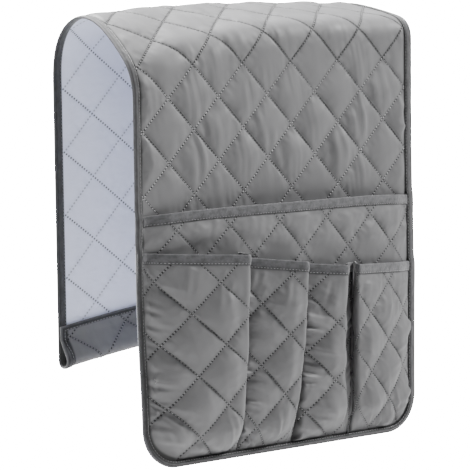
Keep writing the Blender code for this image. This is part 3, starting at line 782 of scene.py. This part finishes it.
def add_stitches(name, place, start, stop, off, finish, thread=tape_thread, side=1):
    """One thread per pair of places in the flat pattern: four rings of four points, whose ends dive into
    the cloth. side is -1 where the stitches lie on the lining."""
    p, q = place(*start.T, off(*start.T)), place(*stop.T, off(*stop.T))
    middle = (start + stop) / 2
    up = place(*middle.T, off(*middle.T) + probe * side) - place(*middle.T, off(*middle.T))
    along = q - p
    length = np.linalg.norm(along, axis=1, keepdims=True)
    along = along / length
    up = up - along * (up * along).sum(1, keepdims=True)
    up = up / np.linalg.norm(up, axis=1, keepdims=True)
    across = np.cross(along, up)
    rings = []
    for share, lift, size in stitch_rings:
        centre = p + along * length * share + up * thread * lift
        for angle in np.arange(stitch_sides) * 2 * math.pi / stitch_sides:
            rings.append(centre + thread * size * (across * math.cos(angle) + up * math.sin(angle)))
    points = np.array(rings).transpose(1, 0, 2)
    last = (len(stitch_rings) - 1) * stitch_sides
    faces = []
    for ring in range(0, last, stitch_sides):
        for k in range(stitch_sides):
            a, b = ring + k, ring + (k + 1) % stitch_sides
            faces += [(a, b, b + stitch_sides), (a, b + stitch_sides, a + stitch_sides)]
    faces += [(3, 2, 1), (3, 1, 0), (last, last + 1, last + 2), (last, last + 2, last + 3)]
    faces = np.array(faces)[:, ::-1]
    first = len(rings) * np.arange(len(points))[:, None, None]
    return add_piece(name, points.reshape(-1, 3), (faces[None] + first).reshape(-1, 3), finish)


def quilt_stitches(panel, allowed):
    """Start and stop of each stitch along both sets of diagonals, where the panel allows them, and its
    thickness: those of the lines that fall to the right are pulled thinner."""
    reach = np.hypot(panel.high[0] - panel.low[0], panel.high[1] - panel.low[1]) * line_spare
    count = math.ceil(reach / line_pitch)
    lines = np.arange(-count, count + 1) * line_pitch
    count = math.ceil(reach / stitch_step)
    places = (np.arange(-count, count) + 0.5) * stitch_step
    line, place = (part.ravel() for part in np.meshgrid(lines, places))
    half = stitch_step * stitch_share
    starts, stops, sizes = [], [], []
    for sign in (1, -1):
        ends = []
        for shift in (-half, half):
            p, q = line, place + shift
            u = (p + q) / math.sqrt(2)
            v = sign * (p - q) / math.sqrt(2)
            ends.append(np.stack([u, v], 1) + panel.start)
        chosen = allowed(*ends[0].T) & allowed(*ends[1].T)
        starts.append(ends[0][chosen])
        stops.append(ends[1][chosen])
        sizes.append(np.full((chosen.sum(), 1), falling_thread if sign > 0 else 1.0))
    return np.vstack(starts), np.vstack(stops), np.vstack(sizes)


def path_stitches(path, inward, reach):
    """Stitches end to end on a line that runs inside a path at a given reach."""
    line = path + inward * np.reshape(reach, (-1, 1))
    run = np.concatenate([[0], np.cumsum(np.hypot(*np.diff(line, axis=0).T))])
    knots = np.arange(0, run[-1] - row_step, row_step)

    def at(places):
        return np.stack([np.interp(places, run, line[:, k]) for k in (0, 1)], 1)

    return at(knots + row_start * row_step), at(knots + row_stop * row_step)


# Finishes

class Finish:
    """A cloth's material, with short names for the nodes that it is made of."""

    def __init__(self, name, colour, roughness, sheen, sheen_roughness=0.4, specular=0.4):
        self.material = bpy.data.materials.new(name)
        self.material.use_nodes = True
        self.tree = self.material.node_tree
        self.shader = self.tree.nodes["Principled BSDF"]
        self.shader.inputs["Base Color"].default_value = (*colour, 1)
        self.material.diffuse_color = (*colour, 1)
        self.shader.inputs["Roughness"].default_value = roughness
        self.shader.inputs["Sheen Weight"].default_value = sheen
        self.shader.inputs["Sheen Roughness"].default_value = sheen_roughness
        self.shader.inputs["Specular IOR Level"].default_value = specular

    def link(self, value, socket):
        if isinstance(value, bpy.types.NodeSocket):
            self.tree.links.new(value, socket)
        else:
            socket.default_value = value

    def node(self, kind, **settings):
        made = self.tree.nodes.new(kind)
        for key, value in settings.items():
            setattr(made, key, value)
        return made

    def math(self, operation, *values):
        made = self.node("ShaderNodeMath", operation=operation)
        for value, socket in zip(values, made.inputs):
            self.link(value, socket)
        return made.outputs[0]

    def band(self, value, low, high, to_low=0.0, to_high=1.0):
        """Smooth step of a value from one level to another."""
        made = self.node("ShaderNodeMapRange", interpolation_type="SMOOTHSTEP")
        for given, socket in zip((value, low, high, to_low, to_high), made.inputs):
            self.link(given, socket)
        return made.outputs[0]

    def flat(self):
        """Place in the flat pattern, and distance from the tapes and seams."""
        made = self.node("ShaderNodeAttribute", attribute_name="flat")
        return made.outputs["Vector"]

    def split(self, vector):
        made = self.node("ShaderNodeSeparateXYZ")
        self.link(vector, made.inputs[0])
        return made.outputs[:3]

    def join(self, x, y, z=0.0):
        made = self.node("ShaderNodeCombineXYZ")
        for value, socket in zip((x, y, z), made.inputs):
            self.link(value, socket)
        return made.outputs[0]

    def noise(self, vector, detail=2.0, roughness=0.5, scale=1.0):
        made = self.node("ShaderNodeTexNoise")
        self.link(vector, made.inputs["Vector"])
        made.inputs["Scale"].default_value = scale
        made.inputs["Detail"].default_value = detail
        made.inputs["Roughness"].default_value = roughness
        return made.outputs["Fac"]

    def stretched(self, u, v, size_u, size_v, **settings):
        """Noise whose grain is size_u by size_v metres."""
        across, along = self.math("MULTIPLY", u, 1 / size_u), self.math("MULTIPLY", v, 1 / size_v)
        return self.noise(self.join(across, along), **settings)

    def tint(self, factor, dark, light):
        """Colour between two, by a factor."""
        made = self.node("ShaderNodeMix", data_type="RGBA")
        self.link(factor, made.inputs["Factor"])
        made.inputs["A"].default_value = (*dark, 1)
        made.inputs["B"].default_value = (*light, 1)
        return made.outputs["Result"]

    def shade(self, colour, factor):
        """Colour darkened by a factor."""
        made = self.node("ShaderNodeVectorMath", operation="SCALE")
        self.link(colour, made.inputs[0])
        self.link(factor, made.inputs["Scale"])
        return made.outputs[0]

    def relief(self, height):
        """Bump from a height in millimetres."""
        bump = self.node("ShaderNodeBump")
        bump.inputs["Strength"].default_value = 1.0
        bump.inputs["Distance"].default_value = 0.001
        self.link(height, bump.inputs["Height"])
        self.tree.links.new(bump.outputs[0], self.shader.inputs["Normal"])

    def total(self, *parts):
        result = parts[0]
        for part in parts[1:]:
            result = self.math("ADD", result, part)
        return result

    def product(self, *parts):
        result = parts[0]
        for part in parts[1:]:
            result = self.math("MULTIPLY", result, part)
        return result

    def left_by(self, factor, share):
        """Share of the brightness that is left where a factor takes a share of it."""
        return self.math("SUBTRACT", 1.0, self.math("MULTIPLY", factor, share))


def stitch_lines(finish, u, v):
    """Places across the falling and the rising stitch lines, with the distances from them."""
    across = [finish.math("DIVIDE", finish.math(way, u, v), math.sqrt(2)) for way in ("ADD", "SUBTRACT")]
    away = [finish.math("ABSOLUTE", finish.math("WRAP", line, line_pitch / 2, -line_pitch / 2))
            for line in across]
    return across, away


def quilting(finish, u, v):
    """For a cloth on the quilting: closeness to the stitch lines, the needle holes, and the puckers that run
    off the lines. Closeness and holes are masks for painted shade; the holes also sink the bump."""
    (p, q), (from_p, from_q) = stitch_lines(finish, u, v)
    holes, near, puckers = [], [], []
    # Painted shade in the needle holes, weaker on the falling lines than on the rising ones.
    for line, run, away, dark in ((p, q, from_p, 0.60), (q, p, from_q, 1.0)):
        hole = finish.math("ABSOLUTE", finish.math("WRAP", run, stitch_step / 2, -stitch_step / 2))
        reach = finish.math("SQRT", finish.math("ADD", finish.math("POWER", away, 2.0),
                                                finish.math("POWER", hole, 2.0)))
        holes.append(finish.math("MULTIPLY", finish.band(reach, 0.0012, 0.0005), dark))
        near.append(finish.band(away, 0.0055, 0.0))
        grain = finish.stretched(run, line, 0.0060, 0.018, detail=0.0)
        puckers.append(finish.math("MULTIPLY", finish.math("SUBTRACT", grain, 0.5),
                                   finish.band(away, 0.0120, 0.0010)))
    return finish.math("MAXIMUM", *near), finish.math("MAXIMUM", *holes), finish.math("ADD", *puckers)


def line_shades(finish, u, v):
    """Masks for painted shade: in the fold along the falling lines, and in the groove along all of them."""
    away = stitch_lines(finish, u, v)[1]
    return finish.band(away[0], 0.0014, 0.0003), finish.band(finish.math("MINIMUM", *away), 0.0018, 0.0005)


def weave(finish, u, v, thread):
    """Plain weave: product of two waves of the thread's pitch, from 0 to 1."""
    waves = [finish.math("SINE", finish.math("MULTIPLY", value, math.pi / thread)) for value in (u, v)]
    return finish.band(finish.math("MULTIPLY", *waves), -1.0, 1.0)


def face_finish(name, streaking, puckering, crest):
    """Satin cloth. Streaking and puckering are the heights of its upright folds and of the puckers along the
    stitch lines, and crest is how much painted shade darkens those lines over the arm."""
    finish = Finish(name, (0.13, 0.13, 0.1325), 0.50, 0.08, 0.45, 0.34)
    u, v, w = finish.split(finish.flat())
    near, holes, puckers = quilting(finish, u, v)
    fold, seam = line_shades(finish, u, v)
    slant = finish.math("ADD", u, finish.math("MULTIPLY", v, streak_slant))
    patch = finish.band(finish.stretched(u, v, 0.045, 0.055, detail=0.0), 0.46, 0.64)
    streaks = finish.math("MULTIPLY", finish.stretched(slant, v, 0.0060, 0.050, detail=0.0), patch)
    soft = finish.stretched(u, v, 0.020, 0.024, detail=3.0)
    colour = finish.tint(soft, (0.118, 0.118, 0.1205), (0.150, 0.150, 0.1525))
    crest_line_shade = finish.math("MULTIPLY", finish.band(v, -0.010, 0.012, 0.0, crest),
                           finish.band(v, 0.16, 0.09))
    # Painted shade in the needle holes, in the fold along the falling lines, on the lines over the arm, near
    # the lines and beside the tapes and seams; the weave's small change of tone is the cloth's own.
    keep = finish.product(
        finish.left_by(holes, 0.88), finish.band(fold, 0.0, 1.0, 1.0, 0.66), finish.left_by(seam, crest_line_shade),
        finish.band(near, 0.0, 1.0, 1.0, 0.92), finish.band(w, 0.0004, 0.0028, 0.16, 1.0),
        finish.band(weave(finish, u, v, 0.00030), 0.0, 1.0, 0.985, 1.015))
    finish.link(finish.shade(colour, keep), finish.shader.inputs["Base Color"])
    finish.link(finish.band(soft, 0.25, 0.75, 0.48, 0.62), finish.shader.inputs["Roughness"])
    finish.relief(finish.total(finish.math("MULTIPLY", streaks, streaking),
                               finish.math("MULTIPLY", puckers, puckering),
                               finish.math("MULTIPLY", holes, -0.35)))
    return finish.material


def lining_finish():
    finish = Finish("pale lining cloth", (0.60, 0.615, 0.68), 0.80, 0.1)
    u, v = finish.split(finish.flat())[:2]
    near, holes, puckers = quilting(finish, u, v)
    soft = finish.stretched(u, v, 0.034, 0.017, detail=3.0)
    colour = finish.tint(soft, (0.700, 0.730, 0.865), (0.755, 0.785, 0.910))
    # Painted shade in the needle holes and near the stitch lines.
    keep = finish.product(finish.left_by(holes, 0.85), finish.band(near, 0.0, 1.0, 1.0, 0.95))
    finish.link(finish.shade(colour, keep), finish.shader.inputs["Base Color"])
    finish.relief(finish.total(finish.math("MULTIPLY", soft, 1.5), finish.math("MULTIPLY", puckers, 1.20),
                               finish.math("MULTIPLY", holes, -0.25)))
    return finish.material


def tape_finish(name, tone, blotch, crumple, groove, edge_highlight, pressed):
    """Woven tape. Tone is its brightness, and crumple the depth of its small folds. Blotch, groove and
    pressed are how dark its dark places, the line of its stitches and the line where it turns round the edge
    are, and edge_highlight is how light the painted highlight on the edge itself is. The inner edge of the
    leg over the cloth and the whole leg under it get painted shade."""
    finish = Finish(name, (0.16, 0.16, 0.165), 0.75, 0.35, 0.5, 0.3)
    u, v, w = finish.split(finish.flat())
    fuzz = finish.stretched(u, v, 0.0016, 0.0013, detail=3.0, roughness=0.65)
    soft = finish.stretched(u, v, 0.0075, 0.0050, detail=2.0)
    twill = finish.math("SINE", finish.math("MULTIPLY", finish.math("ADD", u, v), math.pi / 0.00035))
    slant = finish.math("ADD", u, finish.math("MULTIPLY", v, 0.5))
    pulls = finish.stretched(slant, v, 0.0034, 0.0040, detail=1.0)
    colour = finish.tint(fuzz, (0.040, 0.040, 0.0425), (0.068, 0.068, 0.0715))
    seam = finish.math("ABSOLUTE", finish.math("SUBTRACT", w, 0.0016))
    turn = finish.math("ABSOLUTE", finish.math("SUBTRACT", v, 0.0016))
    # Painted shade at the inner edge of the leg over the cloth and on the leg under it, and a painted
    # highlight on the edge; the blotches are the tape's own.
    keep = finish.product(
        finish.band(soft, 0.30, 0.62, blotch * tone, 1.15 * tone), finish.band(w, 0.0, 0.0011, 0.35, 1.0),
        finish.band(seam, 0.0002, 0.0012, groove, 1.0), finish.band(v, -0.0004, 0.0008, edge_highlight, 1.0),
        finish.band(turn, 0.0002, 0.0008, pressed, 1.0), finish.band(w, 0.008, inner_mark, 1.0, 0.76))
    finish.link(finish.shade(colour, keep), finish.shader.inputs["Base Color"])
    finish.relief(finish.total(finish.math("MULTIPLY", fuzz, 0.10), finish.math("MULTIPLY", twill, 0.003),
                               finish.math("MULTIPLY", pulls, crumple)))
    return finish.material


def wadding_finish():
    finish = Finish("white wadding", (0.80, 0.80, 0.79), 0.95, 0.2)
    u, v = finish.split(finish.flat())[:2]
    tufts = finish.stretched(u, v, 0.002, 0.003, detail=4.0, roughness=0.7)
    colour = finish.tint(tufts, (0.74, 0.74, 0.73), (0.86, 0.86, 0.85))
    finish.link(colour, finish.shader.inputs["Base Color"])
    finish.relief(finish.math("MULTIPLY", tufts, 0.4))
    return finish.material


def thread_finish(name, dark, light):
    finish = Finish(name, light, 0.40, 0.2)
    place = finish.node("ShaderNodeTexCoord").outputs["Object"]
    finish.link(finish.tint(finish.noise(place, 2.0, 0.6, 900.0), dark, light),
                finish.shader.inputs["Base Color"])
    return finish.material


# The organizer

finishes = {"cover": face_finish("satin cover cloth", 0.85, 0.90, 0.66),
            "pocket": face_finish("satin pocket cloth", 0.12, 1.30, 0.0),
            "lining": lining_finish(), "wadding": wadding_finish(),
            "tape": tape_finish("woven edge tape", 0.94, 0.85, 0.25, 0.30, 1.70, 0.45),
            "mouth": tape_finish("crumpled mouth tape", 1.26, 0.70, 0.40, 0.80, 1.50, 1.0)}
# Tones of one thread: the pale copy is a painted highlight, and on the cover the dark copy is painted shade.
threads = {"pale": thread_finish("pale grey thread", (0.30, 0.30, 0.305), (0.52, 0.52, 0.525)),
           "grey": thread_finish("grey thread", (0.18, 0.18, 0.183), (0.32, 0.32, 0.324)),
           "dark": thread_finish("dark grey thread", (0.10, 0.10, 0.103), (0.17, 0.17, 0.173))}


def dress(panel, cells, seed):
    """The three cloths of a panel, with their places in the flat pattern, and its quilting's stitches; the
    frame's parts that they stand for are hidden.
    """
    lining, wadding, face = add_sandwich(panel, cells, seed)

    def allowed(u, v):
        inside = (u > panel.low[0]) & (u < panel.high[0]) & (v > panel.low[1]) & (v < panel.high[1])
        return inside & (panel.margin(u, v) > least_margin)

    start, stop, sizes = quilt_stitches(panel, allowed)
    for number, (low, high, colour) in enumerate(panel.threads):
        chosen = (start[:, 1] >= low) & (start[:, 1] < high)
        rows = add_stitches(f"{panel.name}_stitching_{number + 1}", panel.place, start[chosen], stop[chosen],
                            lambda u, v: hem_stack + face_rise(panel, u, v, seed), threads[colour],
                            panel.thread * sizes[chosen])
    for piece, kind in ((face, "face"), (wadding, "wadding"), (lining, "lining")):
        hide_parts(f"{panel.name}_{kind}")


def dress_mouth(panel, ends, seed, colour, thread):
    """The folded tape on a pocket's mouth and its row of stitches."""
    across = spaced(*ends, mouth_step)
    path = np.stack([across, 0 * across + panel.high[1]], 1)
    inward = np.array([[0.0, -1.0]]) + 0 * path
    tape = add_tape(panel.name + "_mouth_tape", path, inward, panel.place, mouth_stack, finishes["mouth"],
                    (mouth_leg, mouth_leg), seed)
    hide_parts(panel.name + "_tape")
    start, stop = path_stitches(path, inward, row_reach * mouth_leg)
    rows = add_stitches(panel.name + "_mouth_stitching", panel.place, start, stop,
                        lambda u, v: 0 * u + hem_stack + tape_room, threads[colour], thread)


def dress_edge():
    """The folded tape round the strip, with a row of stitches on each side."""
    path, inward = edge_path(tape_step)
    over, under = edge_leg(*path.T), lining_leg
    start, stop = path_stitches(path, inward, row_reach * over)
    rows = add_stitches("edge_tape_stitching", draped, start, stop,
                        lambda u, v: edge_stack(u, v)[1] + tape_room, threads["dark"])
    start, stop = path_stitches(path, inward, row_reach * under)
    inside_rows = add_stitches("edge_tape_stitching_inside", draped, start, stop,
                               lambda u, v: 0 * u - tape_room, threads["dark"], side=-1)
    tape = add_tape("edge_tape_folded", path, inward, draped, edge_stack, finishes["tape"], (under, over),
                    edge_tape_seed, closed=True)
    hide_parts("edge_tape")


dress(COVER, cover_cells, cover_seed)
dress(WIDE, wide_cells, wide_seed)
for number, item in enumerate(POCKETS):
    dress(item, pocket_cells, pocket_seed + seeds_apart * number)

dress_edge()
wide_ends = (-half_width + left_leg, half_width - right_leg - clearance)
dress_mouth(WIDE, wide_ends, wide_tape_seed, "dark", tape_thread)
for number, item in enumerate(POCKETS):
    ends = (low_left_leg + clearance if item.hem_left else 0.0,
            item.width - (right_leg + clearance if item.hem_right else 0.0))
    dress_mouth(item, ends, small_tape_seed + number, "grey", small_thread)

# Stage

floor_level, floor_reach = -0.75, 40
floor_corners = [(-1, -1), (1, -1), (1, 1), (-1, 1)]
floor_mesh = bpy.data.meshes.new("studio_floor")
floor_mesh.from_pydata([(x * floor_reach, y * floor_reach, floor_level) for x, y in floor_corners], [],
                       [(0, 1, 2, 3)])
floor = bpy.data.objects.new("studio_floor", floor_mesh)
bpy.context.scene.collection.objects.link(floor)
floor_finish = bpy.data.materials.new("pale studio floor")
floor_finish.use_nodes = True
floor_shader = floor_finish.node_tree.nodes["Principled BSDF"]
floor_shader.inputs["Base Color"].default_value = (0.58, 0.58, 0.58, 1)
floor_shader.inputs["Roughness"].default_value = 0.9
floor_shader.inputs["Emission Color"].default_value = (1.0, 1.0, 1.0, 1)


def seen_light(tree, unseen, seen, socket):
    """Strength of a light source: seen for rays from the camera and unseen for all the others."""
    path = tree.nodes.new("ShaderNodeLightPath").outputs["Is Camera Ray"]
    strength = tree.nodes.new("ShaderNodeMapRange")
    strength.inputs["To Min"].default_value = unseen
    strength.inputs["To Max"].default_value = seen
    tree.links.new(path, strength.inputs["Value"])
    tree.links.new(strength.outputs[0], socket)


seen_light(floor_finish.node_tree, 0.0, 30.0, floor_shader.inputs["Emission Strength"])
floor_mesh.materials.append(floor_finish)

world = bpy.data.worlds.new("soft studio")
world.use_nodes = True
world.node_tree.nodes["Background"].inputs["Color"].default_value = (1.0, 1.0, 1.0, 1)
seen_light(world.node_tree, 0.085, 30.0, world.node_tree.nodes["Background"].inputs["Strength"])
bpy.context.scene.world = world


def add_light(name, place, target, size, power):
    lamp = bpy.data.lights.new(name, "AREA")
    lamp.shape, lamp.size, lamp.energy = "SQUARE", size, power
    light = bpy.data.objects.new(name, lamp)
    light.location = place
    light.rotation_euler = (Vector(target) - Vector(place)).to_track_quat("-Z", "Y").to_euler()
    bpy.context.scene.collection.objects.link(light)


add_light("key_light", (2.5, -1.4, 1.9), (0, 0, -0.20), 0.8, 224.0)
add_light("top_light", (-0.2, 1.12, 2.1), (0, 0, 0), 1.0, 385.0)
add_light("upper_left_light", (-0.55, -0.55, 0.40), (-0.12, -0.07, -0.10), 0.4, 2.1)
add_light("left_light", (-1.6, 0.25, -0.2), (0, 0, -0.1), 0.8, 8.0)

yaw, pitch, roll = math.radians(39.772), math.radians(5.451), math.radians(-0.806)
forward = np.array([math.sin(yaw) * math.cos(pitch), math.cos(yaw) * math.cos(pitch), -math.sin(pitch)])
level = np.array([math.cos(yaw), -math.sin(yaw), 0.0])
above = np.cross(level, forward)
right = math.cos(roll) * level + math.sin(roll) * above
top = -math.sin(roll) * level + math.cos(roll) * above
camera_place = (-1.5134, -1.8248, 0.01435)
camera_data = bpy.data.cameras.new("camera")
camera_data.lens, camera_data.sensor_width = 196.7, 36.0
camera = bpy.data.objects.new("camera", camera_data)
camera.matrix_world = Matrix([*zip(right, top, -forward, camera_place), (0, 0, 0, 1)])
bpy.context.scene.collection.objects.link(camera)
bpy.context.scene.camera = camera
